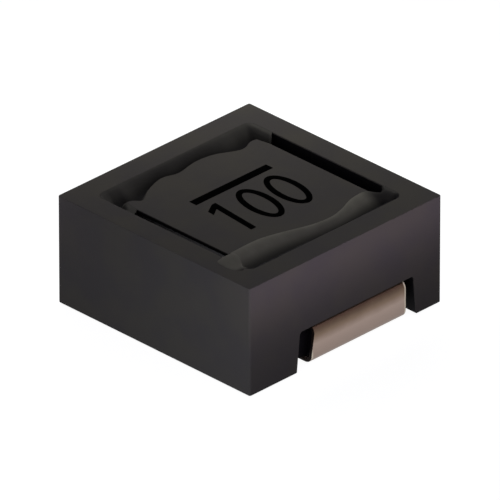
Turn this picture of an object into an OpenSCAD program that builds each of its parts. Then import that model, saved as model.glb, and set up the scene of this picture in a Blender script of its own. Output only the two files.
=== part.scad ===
// Shielded surface-mount power inductor: a square ferrite shield round a wound
// ferrite drum, on a moulded base with two folded solder terminals.
// Millimetres. +Z is up, the origin is the middle of the seating plane, and
// the front terminal faces -Y. The rear half is the front half turned by 180.

/* [Shield] */
// Outer width and depth of the square shield
case_w = 7.0; // [6.6:0.1:8]
// Height from the seating plane to the shield's top
overall_h = 3.2; // [3:0.05:4]
// Gap between the shield's feet and the seating plane
standoff = 0.05; // [0.02:0.01:0.1]
// Thickness of the shield's wall
wall = 0.7; // [0.5:0.05:0.8]
// Radius of the shield's outer upright edges
edge_r = 0.06; // [0.02:0.01:0.2]
// Radius in the corners of the shield's square hole
hole_corner_r = 0.25; // [0.1:0.05:0.3]

/* [Shield notches] */
// Width of each notch at its top
notch_w = 4.18; // [3.9:0.02:4.4]
// Height of each notch above the shield's feet
notch_h = 1.15; // [1.1:0.05:1.4]
// Extra width on each side of a notch at the feet
notch_draft = 0.1; // [0.02:0.01:0.2]
// Radius in the top corners of a notch
notch_corner_r = 0.1; // [0.03:0.01:0.2]
// Sideways place of the notch's middle on its wall
notch_offset = 0.41; // [0.3:0.01:0.5]

/* [Drum core] */
// Gap between the drum's flanges and the shield's hole
core_gap = 0.35; // [0.25:0.05:0.5]
// Depth of the drum's top below the shield's top
drum_recess = 0.1; // [0.05:0.01:0.2]
// Thickness of the top flange at its middle
top_flange_t = 0.6; // [0.5:0.05:0.7]
// Height of the broken step along the top flange's front and rear edges
edge_step = 0.35; // [0.2:0.05:0.4]
// Depth to which the broken edges reach into the flange at a share of 1
edge_bite = 1.0; // [0.7:0.05:1.1]
// Thickness of the bottom flange
bottom_flange_t = 0.5; // [0.45:0.05:0.6]
// Radius of the flanges' corners
flange_corner_r = 0.3; // [0.1:0.05:0.4]
// Diameter of the drum's post
post_d = 2.4; // [2:0.05:2.5]

/* [Winding] */
// Diameter of the wire over its enamel
wire_d = 0.25; // [0.18:0.01:0.27]
// Layers of wire on the post
layers = 4; // [2:2:4]
// Gap left between neighbouring turns and layers
turn_gap = 0.02; // [0.02:0.01:0.05]
// Inside bend radius of the leads
lead_bend_r = 0.1; // [0.08:0.01:0.14]
// Length of a lead's tail over its pad
tail_reach = 0.25; // [0.25:0.05:0.5]
// Distance of the lead holes from the flange's edge
lead_inset = 0.2; // [0.18:0.01:0.3]
// Room round a lead in its hole and slot
lead_clearance = 0.075; // [0.05:0.005:0.1]

/* [Base] */
// Gap between the base plate and the shield's hole
base_gap = 0.1; // [0.05:0.01:0.2]
// Height of the base plate's underside above the seating plane
base_lift = 0.2; // [0.15:0.01:0.22]
// Thickness of the base plate
base_t = 0.45; // [0.42:0.01:0.6]
// Thickness of the bond between the base and the drum
bond_t = 0.05; // [0.02:0.01:0.1]
// Diameter of the round bond film
bond_d = 2.6; // [1.5:0.1:3]
// Gap between a tongue and the sides of its notch
tongue_gap = 0.08; // [0.04:0.01:0.12]
// Gap between a tongue and the drum's flange
tongue_setback = 0.05; // [0.03:0.01:0.1]

/* [Terminals] */
// Thickness of the terminal strip
strip_t = 0.1; // [0.08:0.01:0.12]
// Width of the terminal where it faces the board
terminal_w = 3.46; // [3:0.02:3.6]
// Sideways place of the terminal's middle
terminal_offset = 0.58; // [0.5:0.01:0.62]
// Amount by which the terminal's wire side narrows towards its top
terminal_taper = 0.1; // [0:0.01:0.15]
// Height of the folded terminal
terminal_h = 1.1; // [0.9:0.02:1.1]
// Depth of the terminal's outer face behind the shield's outer face
terminal_inset = 0.1; // [0.05:0.01:0.12]
// Outside radius of the terminal's bends
terminal_bend_r = 0.245; // [0.2:0.005:0.3]
// Length of the solder pad, from the terminal's outer face inwards
pad_len = 1.6; // [1.5:0.05:2]
// Length of the terminal's upper tab
top_tab_len = 0.7; // [0.5:0.05:0.75]
// Width of the step in the pad beside the lead
pad_step_w = 0.32; // [0.2:0.02:0.4]
// Length of that step
pad_step_len = 0.75; // [0.7:0.05:0.8]
// Greatest thickness of the solder round a lead
solder_t = 0.08; // [0.04:0.01:0.09]
// Thickness of the solder between a lead's tail and its pad
solder_under = 0.02; // [0.01:0.005:0.03]
// Bare length of the tail before and after its solder
solder_bare = 0.05; // [0.02:0.01:0.1]

/* [Resin] */
// Depth of the hollow in the resin along the front
front_hollow = 0.3; // [0.1:0.05:0.33]
// Share of the way to the shield at which the front hollow is deepest
front_deepest = 0.72; // [0.3:0.02:0.8]
// Depth of the hollow in the resin along the rear
rear_hollow = 0.3; // [0.1:0.05:0.33]
// Share of the way to the shield at which the rear hollow is deepest
rear_deepest = 0.34; // [0.2:0.02:0.7]
// Share by which the front resin rolls off the drum's top instead of dropping from it
front_roll = 1.0; // [0:0.1:1]
// Share by which the rear resin rolls off the drum's top instead of dropping from it
rear_roll = 0.0; // [0:0.1:1]
// Depth of the resin's edge below the shield's top
resin_lip = 0.02; // [0.01:0.01:0.05]
// Depth of the resin in the left side gap, below the drum's top and beside the drum
side_depth = 0.1; // [0.05:0.01:0.2]

/* [Hidden] */
$fn = 48;
over = 1;             // length by which a cutter passes a face
turn_steps = 24;      // straight pieces in one turn of wire
wire_sides = 8;       // sides of the drawn wire
bend_steps = 4;       // straight pieces in a lead's bend
climb_angle = 60;     // angle over which the wire climbs to the next layer
wave_steps = 5;       // straight pieces between two points of a wavy edge
resin_steps = 8;      // facets across the resin

ferrite = "#3a3937";
hole_w = case_w - 2 * wall;
flange_w = hole_w - 2 * core_gap;
drum_top = overall_h - drum_recess;
drum_z = base_lift + base_t + bond_t;
window_z = drum_z + bottom_flange_t;
window_top = drum_top - top_flange_t;
step_z = drum_top - edge_step;
notch_top = standoff + notch_h;
terminal_y = case_w / 2 - terminal_inset;
terminal_x0 = terminal_offset - terminal_w / 2;
terminal_x1 = terminal_offset + terminal_w / 2;
step_x = terminal_x0 + pad_step_w;

// The wavy front and rear edges of the top flange, where its edge is broken
// away: [share of the half width, share of edge_bite inside the flange's edge].
front_waves = [[-0.97, 0.78], [-0.69, 0.80], [-0.49, 0.76], [-0.22, 0.58], [0.06, 0.36],
               [0.31, 0.29], [0.51, 0.38], [0.73, 0.58], [0.90, 0.64], [0.97, 0.62]];
rear_waves = [[-0.97, 0.33], [-0.90, 0.38], [-0.81, 0.55], [-0.63, 0.28], [-0.35, 0.06], [-0.13, 0.18],
              [0.16, 0.06], [0.41, 0.13], [0.70, 0.45], [0.88, 0.32], [0.97, 0.34]];
// Where the resin ends in the left and the right side gap. The first three are
// distances of its edge, measured as above, beside the flange, in mid gap and
// beside the shield. Then come the distance of the hollow's edge beside the
// shield, and how soon the resin climbs to the rim on its way across the gap:
// 0 is never, 1 at the shield and 2 in mid gap.
front_ends = [
    [0.67, 0.58, 0.67, 0.67, 1],
    [0.57, 0.22, 0.42, 0.42, 2]];
rear_ends = [
    [0.79, 0.91, 1.03, 0.65, 0],
    [0.72, 0.62, 0.48, 0.26, 2]];

// ---- shared shapes ----

module rounded_square(w, r) {
    square([w, w - 2 * r], center = true);
    square([w - 2 * r, w], center = true);
    for (x = [-1, 1], y = [-1, 1])
        translate([x, y] * (w / 2 - r)) circle(r);
}

// An outline in Y and Z, drawn out along X from x0 to x1
module along_x(x0, x1) {
    translate([x0, 0, 0]) rotate([90, 0, 90]) linear_extrude(x1 - x0) children();
}

// An outline in X and Z, drawn out along Y from y0 to y1
module along_y(y0, y1) {
    translate([0, y1, 0]) rotate([90, 0, 0]) linear_extrude(y1 - y0) children();
}

module rear() {
    rotate([0, 0, 180]) children();
}

// ---- wavy flange edges ----

function spline(p0, p1, p2, p3, t) =
    (2 * p1 + (p2 - p0) * t + (2 * p0 - 5 * p1 + 4 * p2 - p3) * t * t
     + (3 * p1 - p0 - 3 * p2 + p3) * t * t * t) / 2;

function smooth(points) =
    let (last = len(points) - 1)
    [for (i = [0 : last - 1], k = [0 : wave_steps - 1])
        spline(points[max(i - 1, 0)], points[i], points[i + 1], points[min(i + 2, last)], k / wave_steps),
     points[last]];

// Points of one wavy edge from left to right: [x, distance from the middle]
function wavy_edge(waves, ends) = [
    [-flange_w / 2, flange_w / 2 - ends[0][0] * edge_bite],
    for (p = smooth(waves)) [p[0] * flange_w / 2, flange_w / 2 - p[1] * edge_bite],
    [flange_w / 2, flange_w / 2 - ends[1][0] * edge_bite]
];

front_edge = wavy_edge(front_waves, front_ends);
rear_edge = wavy_edge(rear_waves, rear_ends);

module land_outline() {
    last = len(rear_edge) - 1;
    polygon(concat(
        [for (p = front_edge) [p[0], -p[1]]],
        [for (i = [0 : last]) rear_edge[last - i]]));
}

// ---- ferrite cores ----

module notch_outline() {
    translate([notch_offset, 0]) hull() {
        for (side = [-1, 1])
            translate([side * (notch_w / 2 - notch_corner_r), notch_top - notch_corner_r])
                circle(notch_corner_r);
        polygon([
            [-notch_w / 2 - notch_draft, standoff],
            [notch_w / 2 + notch_draft, standoff],
            [notch_w / 2 + notch_draft, standoff - over],
            [-notch_w / 2 - notch_draft, standoff - over]]);
    }
}

module notch() {
    along_y(-case_w / 2 - over, -hole_w / 2 + over) notch_outline();
}

module shield_core() {
    color(ferrite) difference() {
        translate([0, 0, standoff])
            linear_extrude(overall_h - standoff) rounded_square(case_w, edge_r);
        translate([0, 0, standoff - over])
            linear_extrude(overall_h + 2 * over) rounded_square(hole_w, hole_corner_r);
        notch();
        rear() notch();
    }
}

// Slot in the bottom flange through which a lead passes under the coil
module lead_slot() {
    r = wire_d / 2 + lead_clearance;
    translate([-lead_x, 0, drum_z - over]) {
        cylinder(r = r, h = bottom_flange_t + over);
        translate([-r, -flange_w / 2 - over, 0])
            cube([2 * r, flange_w / 2 + over, bottom_flange_t + over]);
    }
}

module top_flange_lower() {
    translate([0, 0, window_top])
        linear_extrude(top_flange_t - edge_step) rounded_square(flange_w, flange_corner_r);
}

module drum_core() {
    color(ferrite) difference() {
        union() {
            translate([0, 0, drum_z])
                linear_extrude(bottom_flange_t) rounded_square(flange_w, flange_corner_r);
            translate([0, 0, drum_z]) cylinder(d = post_d, h = window_top - drum_z);
            top_flange_lower();
            translate([0, 0, step_z]) linear_extrude(edge_step) land_outline();
        }
        lead_slot();
        rear() lead_slot();
    }
}

// ---- winding: one wire, from the front tail through the coil to the rear ----

function unit(v) = v / norm(v);
function layer_r(i) = post_d / 2 + turn_gap + wire_d / 2 + i * (wire_d + turn_gap);

coil_z0 = window_z + turn_gap + wire_d / 2;
coil_z1 = window_top - turn_gap - wire_d / 2;
lead_x = layer_r(0);
lead_y = flange_w / 2 - lead_inset;
tail_z = strip_t + solder_under + wire_d / 2;
tail_x = step_x + tail_reach;
bend_r = lead_bend_r + wire_d / 2;
run_z = coil_z0 - wire_d - 3 * turn_gap;

// The last turn leaves its circle on the tangent that meets the rear lead hole
exit_angle = atan2(lead_y, lead_x) + acos(layer_r(layers - 1) / norm([lead_x, lead_y]));
full_layer_angle = 360 * (coil_z1 - coil_z0) / (wire_d + turn_gap);
climbs = (layers - 1) * climb_angle;
whole_turns = floor((layers * full_layer_angle + climbs - 180 + exit_angle) / 360);
coil_angle = 360 * whole_turns + 180 - exit_angle;
layer_angle = (coil_angle - climbs) / layers;

function ease(t) = (1 - cos(180 * t)) / 2;

// A point of the coil, at an angle counted along the wire from its start
function coil_point(a) =
    let (
        i = min(floor(a / (layer_angle + climb_angle)), layers - 1),
        rest = a - i * (layer_angle + climb_angle),
        climb = max(0, (rest - layer_angle) / climb_angle),
        share = min(1, rest / layer_angle),
        height = i % 2 == 0 ? share : 1 - share,
        r = layer_r(i) + (i < layers - 1 ? ease(climb) * (wire_d + turn_gap) : 0)
    )
    [r * cos(180 - a), r * sin(180 - a), coil_z0 + height * (coil_z1 - coil_z0)];

// Quarter bend from direction u to direction v, round the corner at c
function quarter_bend(c, u, v) = [
    for (k = [0 : bend_steps])
        let (a = 90 * k / bend_steps)
        c - u * bend_r * (1 - sin(a)) + v * bend_r * (1 - cos(a))
];

front_lead = concat(
    [[tail_x, -lead_y, tail_z]],
    quarter_bend([-lead_x, -lead_y, tail_z], [-1, 0, 0], [0, 0, 1]),
    quarter_bend([-lead_x, -lead_y, run_z], [0, 0, 1], [0, 1, 0]),
    [for (k = [0 : bend_steps])
        let (t = k / bend_steps, rise = 3 * wire_d)
        [-lead_x, -rise * (1 - t), run_z + (coil_z0 - run_z) * ease(t)]]);

coil_count = round(coil_angle / 360 * turn_steps);
coil = [for (i = [1 : coil_count]) coil_point(coil_angle * i / coil_count)];

exit_direction = unit([lead_x, lead_y, coil_z0] - coil[coil_count - 1]);
rear_lead = concat(
    quarter_bend([lead_x, lead_y, coil_z0], exit_direction, [0, 0, -1]),
    quarter_bend([lead_x, lead_y, tail_z], [0, 0, -1], [-1, 0, 0]),
    [[-tail_x, lead_y, tail_z]]);

wire_path = concat(front_lead, coil, rear_lead);

// A round wire along a path, its rings turned as little as possible
module wire(path, r, sides) {
    last = len(path) - 1;
    tangents = [for (i = [0 : last]) unit(path[min(i + 1, last)] - path[max(i - 1, 0)])];
    normals = [for (i = 0, n = [0, 1, 0]; i <= last;
                    i = i + 1, n = i > last ? n : unit(n - tangents[i] * (n * tangents[i]))) n];
    points = [for (i = [0 : last], k = [0 : sides - 1])
        let (a = 360 * k / sides, n = normals[i], b = cross(tangents[i], n))
        path[i] + r * (cos(a) * n + sin(a) * b)];
    walls = [for (i = [0 : last - 1], k = [0 : sides - 1])
        let (next = (k + 1) % sides)
        [i * sides + k, (i + 1) * sides + k, (i + 1) * sides + next, i * sides + next]];
    ends = [[for (k = [0 : sides - 1]) k],
            [for (k = [sides - 1 : -1 : 0]) last * sides + k]];
    polyhedron(points, concat(walls, ends));
}

module winding() {
    color("#a8502c") wire(wire_path, wire_d / 2, wire_sides);
}

// ---- base ----

tongue_y = terminal_y - terminal_bend_r;
tongue_back_y = flange_w / 2 + tongue_setback;
block_top = terminal_h - strip_t;

// Side view of the block that fills the folded strip, with the pad's backing
module carrier_outline() {
    r = terminal_bend_r;
    depth = terminal_y - tongue_back_y;
    translate([strip_t, r]) square([depth - strip_t, terminal_h - 2 * r]);
    translate([r, r]) square([depth - r, block_top - r]);
    translate([r, strip_t]) square([pad_len - r, r - strip_t]);
    for (z = [r, terminal_h - r])
        translate([r, z]) circle(r - strip_t);
}

// End tongue in the front notch, with the block that carries the terminal
module base_end() {
    along_x(notch_offset - notch_w / 2 + tongue_gap, notch_offset + notch_w / 2 - tongue_gap)
        translate([-tongue_y, base_lift]) square([tongue_y - tongue_back_y, block_top - base_lift]);
    along_x(terminal_x0 + terminal_taper, terminal_x1)
        translate([-terminal_y, 0]) carrier_outline();
}

module lead_hole() {
    translate([-lead_x, -lead_y, base_lift - over])
        cylinder(d = wire_d + 2 * lead_clearance, h = base_t + 2 * over);
}

// Pocket in the underside for the lead's tail and its solder
module lead_pocket() {
    half_w = wire_d / 2 + solder_t;
    top = tail_z + wire_d / 2 + solder_t;
    x0 = -lead_x - wire_d / 2 - lead_clearance;
    x1 = tail_x + lead_clearance;
    translate([x0, -lead_y - half_w, strip_t - over])
        cube([x1 - x0, 2 * half_w, top - strip_t + over]);
}

module base() {
    color("#232326") difference() {
        union() {
            translate([0, 0, base_lift])
                linear_extrude(base_t) rounded_square(hole_w - 2 * base_gap, hole_corner_r);
            base_end();
            rear() base_end();
        }
        for (turn = [0, 180]) rotate([0, 0, turn]) {
            lead_hole();
            lead_pocket();
        }
    }
}

module drum_bond() {
    color("#b9a36a") translate([0, 0, base_lift + base_t]) cylinder(d = bond_d, h = bond_t);
}

// ---- terminals and solder ----

module bend_outline(r) {
    intersection() {
        difference() {
            circle(r);
            circle(r - strip_t);
        }
        translate([-r, -r]) square(r);
    }
}

// Side view of the folded strip: pad, outer wall and upper tab
module strip_outline() {
    r = terminal_bend_r;
    translate([r, r]) bend_outline(r);
    translate([r, terminal_h - r]) mirror([0, 1]) bend_outline(r);
    translate([r, 0]) square([pad_len - r, strip_t]);
    translate([0, r]) square([strip_t, terminal_h - 2 * r]);
    translate([r, terminal_h - strip_t]) square([top_tab_len - r, strip_t]);
}

// Front view of the strip, narrowing upwards on the wire side
module strip_face() {
    polygon([
        [terminal_x0, -over],
        [terminal_x1, -over],
        [terminal_x1, terminal_h + over],
        [terminal_x0 + terminal_taper, terminal_h + over],
        [terminal_x0 + terminal_taper, terminal_h - terminal_bend_r],
        [terminal_x0, terminal_bend_r]]);
}

module terminal() {
    difference() {
        intersection() {
            along_x(terminal_x0, terminal_x1) translate([-terminal_y, 0]) strip_outline();
            along_y(-terminal_y - over, 0) strip_face();
        }
        translate([terminal_x0 - over, pad_len - terminal_y - pad_step_len, -over])
            cube([pad_step_w + over, pad_step_len + over, terminal_bend_r + over]);
    }
}

module terminal_front() {
    color("#9a8a7e") terminal();
}

module terminal_rear() {
    color("#9a8a7e") rear() terminal();
}

// Bead of solder round the lead's tail, standing on the pad's step
module solder() {
    x0 = -lead_x + bend_r + solder_bare;
    x1 = tail_x - solder_bare;
    half = (x1 - x0) / 2;
    difference() {
        translate([x0 + half, -lead_y, tail_z]) rotate([0, 90, 0]) rotate_extrude()
            polygon(concat(
                [[wire_d / 2, half], [wire_d / 2, -half]],
                [for (a = [-80 : 20 : 80]) [wire_d / 2 + solder_t * cos(a), half * sin(a)]]));
        translate([step_x, -lead_y - over, -over]) cube([2 * half, 2 * over, strip_t + over]);
    }
}

module solder_front() {
    color("#b4b2ae") solder();
}

module solder_rear() {
    color("#b4b2ae") rear() solder();
}

// ---- resin in the front and rear gaps ----

gap_shares = [for (a = [90 : -22.5 : 22.5]) sin(a)];

// Distance of the shield's wall from the middle, at a place across its hole
function shield_wall_at(x) =
    let (corner = hole_w / 2 - hole_corner_r, past = min(max(abs(x) - corner, 0), hole_corner_r))
    corner + sqrt(hole_corner_r * hole_corner_r - past * past);

// Quadratic through the three distances given for a gap's end
function gap_end(end, g) =
    end[0] * (1 - g) * (1 - 2 * g) + end[1] * 4 * g * (1 - g) + end[2] * g * (2 * g - 1);

// Stations across the hole: [x, resin's inner edge, hollow's inner edge, share of the climb]
function gap_station(side, g, end, land_y) =
    let (
        y = flange_w / 2 - gap_end(end, g) * edge_bite,
        hollow_y = (1 - g) * land_y + g * (flange_w / 2 - end[3] * edge_bite)
    )
    [side * (flange_w / 2 + g * core_gap), y, max(y, hollow_y), min(1, g * end[4])];

function stations(edge, ends) =
    let (last = len(edge) - 1)
    concat(
        [for (g = gap_shares) gap_station(-1, g, ends[0], edge[1][1])],
        [for (i = [0 : last])
            [edge[i][0], edge[i][1], max(edge[i][1], edge[min(max(i, 1), last - 1)][1]), 0]],
        [for (i = [len(gap_shares) - 1 : -1 : 0])
            gap_station(1, gap_shares[i], ends[1], edge[last - 1][1])]);

// Height of the resin at a distance y from the middle. The hollow is given as
// [depth, share of the way at which it is deepest, share by which it rolls off].
function resin_z(s, y, hollow) =
    let (
        wall_y = shield_wall_at(s[0]),
        t = max(0, (y - s[2]) / (wall_y - s[2])),
        inner = t / hollow[1],
        outer = (1 - t) / (1 - hollow[1]),
        dip = inner < 1 ? hollow[2] * ease(inner) + (1 - hollow[2]) * sin(90 * inner) : ease(outer),
        rim = overall_h - resin_lip
    )
    drum_top + (rim - drum_top) * max(t, s[3]) - hollow[0] * dip * cos(90 * s[3]);

module resin_block(all, hollow) {
    last = len(all) - 1;
    row = resin_steps + 3;
    points = [for (s = all) each concat(
        [for (j = [0 : resin_steps])
            let (y = s[1] + (shield_wall_at(s[0]) - s[1]) * j / resin_steps)
            [s[0], y, resin_z(s, y, hollow)]],
        [[s[0], shield_wall_at(s[0]), window_top], [s[0], s[1], window_top]])];
    sides = [for (i = [0 : last - 1], j = [0 : row - 1])
        let (next = (j + 1) % row)
        [i * row + j, i * row + next, (i + 1) * row + next, (i + 1) * row + j]];
    ends = [[for (j = [row - 1 : -1 : 0]) j],
            concat([last * row + row - 1], [for (j = [0 : row - 2]) last * row + j])];
    polyhedron(points, concat(sides, ends));
}

module resin_front() {
    color("#33322f") difference() {
        mirror([0, 1, 0])
            resin_block(stations(front_edge, front_ends), [front_hollow, front_deepest, front_roll]);
        top_flange_lower();
    }
}

module resin_rear() {
    color("#33322f") difference() {
        resin_block(stations(rear_edge, rear_ends), [rear_hollow, rear_deepest, rear_roll]);
        top_flange_lower();
    }
}

// Resin that fills the left side gap between the front and the rear resin, and
// slopes from the shield's rim down to the drum
module resin_left() {
    shares = concat(gap_shares, [0]);
    last = len(shares) - 1;
    low = drum_top - side_depth;
    high = overall_h - resin_lip;
    points = [for (g = shares)
        let (
            x = -flange_w / 2 - g * core_gap,
            y0 = gap_end(front_ends[0], g) * edge_bite - flange_w / 2,
            y1 = flange_w / 2 - gap_end(rear_ends[0], g) * edge_bite,
            z = low + (high - low) * sin(90 * g)
        )
        each [[x, y0, window_top], [x, y1, window_top], [x, y1, z], [x, y0, z]]];
    sides = [for (i = [0 : last - 1], j = [0 : 3])
        let (next = (j + 1) % 4)
        [i * 4 + j, (i + 1) * 4 + j, (i + 1) * 4 + next, i * 4 + next]];
    color("#33322f") polyhedron(points, concat(sides, [[0, 1, 2, 3], [for (j = [3 : -1 : 0]) last * 4 + j]]));
}

shield_core();
drum_core();
winding();
base();
drum_bond();
terminal_front();
terminal_rear();
solder_front();
solder_rear();
resin_front();
resin_rear();
resin_left();
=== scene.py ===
"""Finish, marking and studio for a shielded surface-mount inductor.

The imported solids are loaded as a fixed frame. Each operator gives one group of
pieces its finish, or a finer mesh of the same form, and the last one sets the
floor, the lamps and the camera.
"""

import math

import bmesh
import bpy
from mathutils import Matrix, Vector


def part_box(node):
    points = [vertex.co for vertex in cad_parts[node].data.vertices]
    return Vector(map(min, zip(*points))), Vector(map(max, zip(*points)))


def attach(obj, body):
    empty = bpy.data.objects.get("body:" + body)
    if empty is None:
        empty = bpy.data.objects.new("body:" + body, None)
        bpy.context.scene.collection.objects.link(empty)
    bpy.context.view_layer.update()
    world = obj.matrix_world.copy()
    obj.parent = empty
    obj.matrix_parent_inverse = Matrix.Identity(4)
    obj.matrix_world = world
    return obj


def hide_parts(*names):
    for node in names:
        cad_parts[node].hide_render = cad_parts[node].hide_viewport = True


bl_info = {
    "name": "Shielded Inductor",
    "version": (1, 0, 0),
    "blender": (4, 5, 0),
    "location": "View3D > Sidebar > Inductor",
    "description": "Finishes a shielded surface-mount inductor and sets its studio",
    "category": "Object",
}

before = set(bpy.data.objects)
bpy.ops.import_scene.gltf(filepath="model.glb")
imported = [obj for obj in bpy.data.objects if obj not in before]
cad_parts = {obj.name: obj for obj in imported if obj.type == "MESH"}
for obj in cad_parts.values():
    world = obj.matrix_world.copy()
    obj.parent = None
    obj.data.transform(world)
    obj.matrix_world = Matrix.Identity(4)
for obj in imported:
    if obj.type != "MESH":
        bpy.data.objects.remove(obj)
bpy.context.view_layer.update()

MM = 0.001
BODY = "root"
SHIELD_LOW, SHIELD_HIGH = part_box("shield_core")
DRUM_LOW, DRUM_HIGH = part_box("drum_core")
WIRE_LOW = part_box("winding")[0]
PAD_LOW, PAD_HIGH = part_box("terminal_front")
RESIN_REACH = -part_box("resin_front")[0].y

# Cleaning and shading of meshes, with angles in degrees.
MERGE_DISTANCE = 0.0005 * MM
FLAT_ANGLE = 0.4
BROKEN_ANGLE = 35
LOFT_ANGLE = 80
SIDE_FACING = 0.8

# Shares of the drum's half width: where a resin bead reaches the flange's corner, how far its even stretch counts,
# and where the web at the end of the rear bead begins and how long it takes to form.
CORNER_START = 0.96
EVEN_STRETCH = 0.975
WEB_START = 0.5
WEB_BLEND = 0.35

# Corners of the smear's outline, in millimetres.
SMEAR_OUTLINE = (
    (-3.07, -1.89), (-2.79, -1.82), (-2.57, -1.82), (-2.45, -1.92), (-2.51, -2.16),
    (-2.71, -2.41), (-2.87, -2.66), (-3.01, -2.59), (-3.11, -2.39), (-3.12, -2.16))
# The smear takes the crest's painted highlight, darkened by this share.
SMEAR_SHADE = 0.74


# ---------------------------------------------------------------- settings

def length(name, description, default):
    """A length property whose default is given in millimetres."""
    return bpy.props.FloatProperty(
        name=name, description=description, default=default * MM, unit="LENGTH", precision=6)


def number(name, description, default):
    """A plain number."""
    return bpy.props.FloatProperty(name=name, description=description, default=default)


def count(name, description, default):
    """A whole number from 1 up."""
    return bpy.props.IntProperty(name=name, description=description, default=default, min=1)


def colour(name, description, red, green, blue):
    """A colour property whose default is given as display values from 0 to 255."""
    linear = [((v / 255 + 0.055) / 1.055) ** 2.4 for v in (red, green, blue)]
    return bpy.props.FloatVectorProperty(
        name=name, description=description, default=linear, subtype="COLOR", min=0, max=1)


class InductorSizes(bpy.types.PropertyGroup):
    """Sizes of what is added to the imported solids."""
    ferrite_edge: length("Ferrite edge", "Width of the broken edge on the ferrite", 0.022)
    strip_edge: length("Strip edge", "Width of the broken edge on the terminal strip", 0.015)
    moulded_edge: length("Moulded edge", "Width of the broken edge on the base", 0.02)
    wire_diameter: length("Wire", "Diameter of the wire over its enamel", 0.25)
    turn_gap: length("Turn gap", "Gap between neighbouring turns and layers", 0.02)
    post_diameter: length("Post", "Diameter of the drum's post", 2.4)
    bottom_flange: length("Bottom flange", "Thickness of the drum's bottom flange", 0.5)
    top_flange: length("Top flange", "Thickness of the drum's top flange", 0.6)
    layers: count("Layers", "Layers of wire on the post", 4)
    climb_angle: number("Climb", "Angle over which the wire climbs a layer, in degrees", 60)
    lead_inset: length("Lead inset", "Distance of the lead holes from the flange's edge", 0.2)
    lead_bend: length("Lead bend", "Inside bend radius of the leads", 0.1)
    tail_end: length("Tail end", "Sideways place of the front tail's end", -0.58)
    wire_sides: count("Wire sides", "Sides of the drawn wire", 16)
    turn_steps: count("Turn steps", "Straight pieces in one turn of wire", 72)
    hollow_depth: length("Hollow", "Depth of the hollow along the resin", 0.3)
    front_deepest: number("Front deepest", "Share of the way out to the front hollow's deepest line", 0.72)
    rear_deepest: number("Rear deepest", "Share of the way out to the rear hollow's deepest line", 0.34)
    front_left_bite: length("Front left bite", "Hollow's start inside the flange's edge, in the left gap", 0.67)
    front_right_bite: length("Front right bite", "Hollow's start inside the flange's edge, in the right gap", 0.42)
    rear_left_bite: length("Rear left bite", "Hollow's start inside the flange's edge, in the left gap", 0.65)
    web_width: length("Web width", "Width of the slope of the web that ends the rear bead on the right", 0.06)
    smear_height: length("Smear", "Thickness of the resin smeared over the rim", 0.02)
    resin_steps: count("Resin steps", "Facets across the resin", 24)
    bead_depth: length("Bead depth", "Depth of the resin below the drum's top", 0.36)
    digit_height: length("Digit height", "Height of the marked digits", 1.72)
    upright_height: length("Upright height", "Height of the marked upright digit", 1.64)
    digit_width: length("Digit width", "Width of a marked round digit", 0.88)
    stroke: length("Stroke", "Width of the ink strokes", 0.182)
    ink_thickness: length("Ink", "Thickness of the ink", 0.006)
    slant: number("Slant", "Lean of the digits to the right, in degrees", 5.5)
    digits_y: length("Digits", "Place of the digits' middle, front to back", -0.359)
    first_round_x: length("First round digit", "Place of the first round digit's middle", 0.028)
    digit_gap: length("Digit gap", "Gap between the two round digits", 0.14)
    upright_x: length("Upright digit", "Place of the upright digit's left side", -1.045)
    flag_reach: length("Flag", "Reach of the upright digit's flag", 0.26)
    bar_left: length("Bar left", "Left end of the bar", -1.215)
    bar_right: length("Bar right", "Right end of the bar", 1.585)
    bar_y: length("Bar place", "Place of the bar's middle, front to back", 0.855)
    bar_width: length("Bar width", "Width of the bar", 0.255)


class InductorColours(bpy.types.PropertyGroup):
    """Colours of the finishes, and of the painted shade and highlights."""
    ferrite: colour("Ferrite", "Sintered ferrite", 62, 59, 57)
    # Painted shade: the near-black colour of the shield's hidden walls and the drum's sides, seen down the gaps and
    # slots.
    gap_shade: colour("Varnish", "Dark varnish on the walls that aren't ground", 4, 3, 6)
    resin: colour("Resin", "Cured epoxy resin where it lies thin and high", 58, 56, 54)
    # Painted highlight: the pale band along the front bead's crest and over the smear.
    crest: colour("Crest", "Cured epoxy resin on the crest of the front bead", 103, 100, 93)
    # Painted shade: the near-black colour of the resin down in its hollows and beside the drum in the left gap.
    resin_shade: colour("Deep resin", "Cured epoxy resin down in its hollows", 6, 4, 9)
    plating: colour("Plating", "Tin-plated terminal", 160, 142, 131)
    # Painted shade: the brown band high up the terminal, under the shade of the notch's top edge.
    film: colour("Film", "Brownish film higher up the terminal", 122, 102, 85)
    # Painted shade: dark brown at the terminal's top edge and along its foot, and, darker still, on the strip's
    # sides.
    brown_shade: colour("Stain", "Dark brown film under the terminal's top edge", 67, 49, 37)
    # Painted highlight: the light lines along the strip's upright edges.
    edge_highlight: colour("Bare edge", "Rubbed edges of the terminal strip", 188, 178, 162)
    moulding: colour("Moulding", "Moulded base", 9, 7, 11)
    enamel: colour("Enamel", "Wire enamel over copper", 176, 92, 44)
    solder: colour("Solder", "Solder at the leads", 186, 186, 184)
    adhesive: colour("Adhesive", "Adhesive film under the drum", 150, 128, 82)
    ink: colour("Ink", "Marking ink", 2, 2, 2)
    floor: colour("Floor", "What the studio floor sends back to the object", 175, 175, 175)


# ---------------------------------------------------------------- shader maths

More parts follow.
